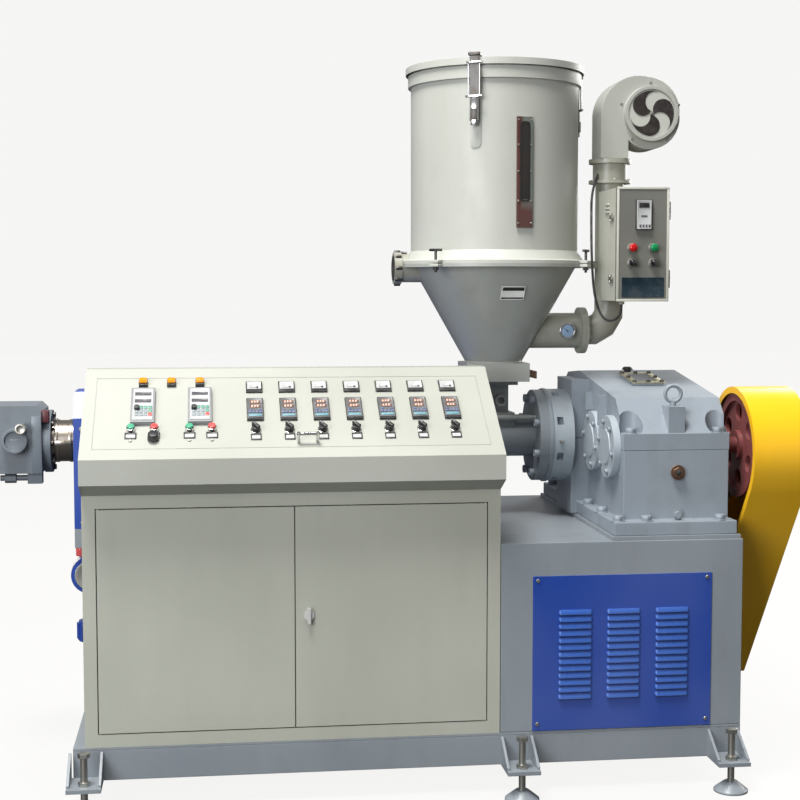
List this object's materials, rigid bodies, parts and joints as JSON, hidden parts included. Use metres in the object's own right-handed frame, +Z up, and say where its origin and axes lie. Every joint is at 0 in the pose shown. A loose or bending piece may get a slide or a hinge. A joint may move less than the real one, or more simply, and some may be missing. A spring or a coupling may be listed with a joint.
{
  "type": "plastic extruder",
  "caption": "Single-screw plastic extruder with control desk, belt-driven gearbox and a hopper dryer with hot-air blower.",
  "frame": {"origin": "floor level under the middle of the whole machine", "axes": "+X from the die towards the drive, +Y from the operator's side to the back, +Z up"},
  "size_m": [2.422, 1.2498, 2.182],
  "materials": {
    "amber_plastic": "translucent amber",
    "belt_rubber": "matt black rubber",
    "black_plastic": "matt black",
    "blue_paint": "semi-gloss blue enamel",
    "box_paint": "satin grey paint",
    "bright_steel": "plain ground steel, slightly stained",
    "cabinet_paint": "fine-textured cream-grey powder coat",
    "cable_rubber": "black cable sheath",
    "cast_grey": "painted casting, rough",
    "chrome": "polished",
    "dial_glass": "clear dial glass over a white scale",
    "die_steel": "grey paint over machined steel",
    "galvanised": "grey duct paint",
    "grey_plastic": "satin light grey",
    "hopper_paint": "glossy light-grey enamel",
    "machine_paint": "semi-gloss grey-blue machine enamel",
    "pulley_paint": "dark red enamel on cast iron",
    "red_plastic": "glossy red",
    "yellow_paint": "semi-gloss safety-yellow enamel",
    "zinc": "zinc-plated fasteners"
  },
  "bodies": {
    "machine": {"barrel": "bright_steel", "barrel_cover": "blue_paint", "barrel_support": "machine_paint", "base_frame": "machine_paint", "bearing_covers": "cast_grey", "belt_guard": "yellow_paint", "blower_grille": "galvanised", "blower_housing": "galvanised", "blower_motor": "galvanised", "cabinet_shell": "cabinet_paint", "console_shell": "cabinet_paint", "control_box": "box_paint", "cooling_blowers": "blue_paint", "coupling_housing": "cast_grey", "deck_plate": "machine_paint", "die_adapter": "die_steel", "die_block": "die_steel", "die_fittings": "die_steel", "drive_base": "machine_paint", "drive_belts": "belt_rubber", "dryer_cable": "cable_rubber", "exhaust_port": "galvanised", "eye_bolts": "cast_grey", "feed_throat": "bright_steel", "foot_brackets": "machine_paint", "gearbox_lower_case": "cast_grey", "gearbox_sole_plate": "machine_paint", "gearbox_upper_case": "cast_grey", "heater_band": "bright_steel", "hopper_barrel": "hopper_paint", "hopper_base": "hopper_paint", "hopper_cone": "hopper_paint", "hopper_lid": "hopper_paint", "hot_air_duct": "galvanised", "hot_air_inlet": "galvanised", "inspection_cover": "cast_grey", "levelling_pads": "zinc", "levelling_screws": "zinc", "lid_latches": "chrome", "louvre_panels": "blue_paint", "oil_fittings": "zinc", "sight_window": "bright_steel", "thermometer": "dial_glass"},
    "left_door": {"cabinet_door_left": "cabinet_paint"},
    "right_door": {"cabinet_door_right": "cabinet_paint"},
    "lock": {"door_handle": "chrome"},
    "lid": {"console_lid": "cabinet_paint", "ammeters": "black_plastic", "temperature_controllers": "black_plastic", "lid_handle": "chrome", "inverter_keypads": "grey_plastic", "signal_lamps": "amber_plastic", "push_buttons": "red_plastic", "zone_switches": "black_plastic"},
    "dryer_door": {"control_box_door": "box_paint", "dryer_controls": "black_plastic"},
    "gate": {"slide_gate": "bright_steel"},
    "large_pulley": {"driven_pulley": "pulley_paint"},
    "small_pulley": {"motor_pulley": "pulley_paint"}
  },
  "joints": [
    {"name": "left_door_hinge", "type": "hinge", "parent": "machine", "child": "left_door", "pos_m": [-0.86, -0.496, 0.216], "axis": [0, 0, -1], "range_deg": [0, 110]},
    {"name": "right_door_hinge", "type": "hinge", "parent": "machine", "child": "right_door", "pos_m": [0.24, -0.496, 0.216], "axis": [0, 0, 1], "range_deg": [0, 110]},
    {"name": "door_lock_turn", "type": "hinge", "parent": "right_door", "child": "lock", "pos_m": [-0.2705, -0.501, 0.539], "axis": [0, 1, 0], "range_deg": [0, 90]},
    {"name": "console_lid_hinge", "type": "hinge", "parent": "machine", "child": "lid", "pos_m": [-0.312, -0.28031, 1.20582], "axis": [-1, 0, 0], "range_deg": [0, 75]},
    {"name": "dryer_box_hinge", "type": "hinge", "parent": "machine", "child": "dryer_door", "pos_m": [0.8685, -0.2003, 1.431], "axis": [0, 0, 1], "range_deg": [0, 110]},
    {"name": "gate_slide", "type": "slide", "parent": "machine", "child": "gate", "axis": [1, 0, 0], "range_m": [0, 0.15]},
    {"name": "gearbox_input", "type": "hinge", "parent": "machine", "child": "large_pulley", "pos_m": [1.048, -0.318, 0.992], "axis": [1, 0, 0], "continuous": true},
    {"name": "motor_shaft", "type": "hinge", "parent": "machine", "child": "small_pulley", "pos_m": [1.048, 0.09, 0.31], "axis": [1, 0, 0], "continuous": true}
  ],
  "couplings": [
    {"joint": "motor_shaft", "follows": "gearbox_input", "ratio": 2}
  ]
}
